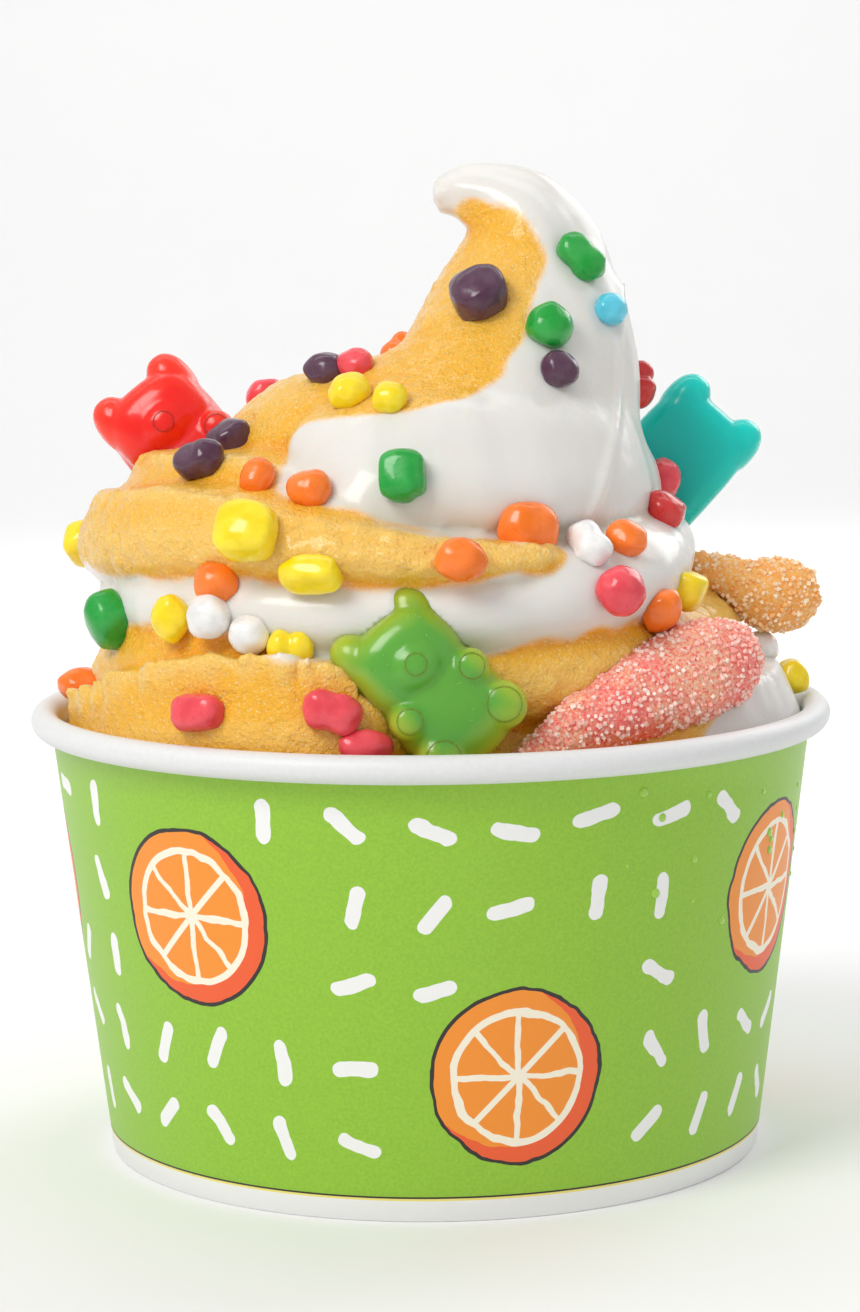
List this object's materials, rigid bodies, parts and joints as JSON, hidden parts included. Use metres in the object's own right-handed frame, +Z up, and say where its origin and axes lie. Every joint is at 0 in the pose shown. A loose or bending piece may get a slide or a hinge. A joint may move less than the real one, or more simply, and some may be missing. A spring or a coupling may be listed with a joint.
{
  "type": "frozen yogurt cup",
  "caption": "Paper dessert cup of soft frozen yogurt in two flavours, swirled to a peak that folds over, topped with gummy bears, sour gummies and small pebble candies.",
  "frame": {"origin": "centre of the ring that the cup stands on, at the height of the table", "axes": "+Z up along the cup's axis, -Y towards the viewer of the front, +X to that viewer's right"},
  "size_m": [0.095, 0.095, 0.1162],
  "materials": {
    "cup_wall": "printed coated paper, satin",
    "cup_base": "plain coated paper",
    "yogurt_orange": "fruit frozen yogurt, grainy with ice",
    "yogurt_white": "plain frozen yogurt, smooth and wet",
    "gummy_bear_red": "oiled gummy",
    "gummy_bear_green": "clear gummy",
    "gummy_bear_teal": "clear gummy",
    "sour_gummy_pink": "gummy coated in sour sugar",
    "sour_gummy_orange": "gummy coated in sour sugar"
  },
  "bodies": {
    "root": {"cup_wall": "cup_wall", "cup_base": "cup_base", "yogurt_orange": "yogurt_orange", "yogurt_white": "yogurt_white", "gummy_bear_red": "gummy_bear_red", "gummy_bear_green": "gummy_bear_green", "gummy_bear_teal": "gummy_bear_teal", "sour_gummy_pink": "sour_gummy_pink", "sour_gummy_orange": "sour_gummy_orange"}
  },
  "joints": []
}
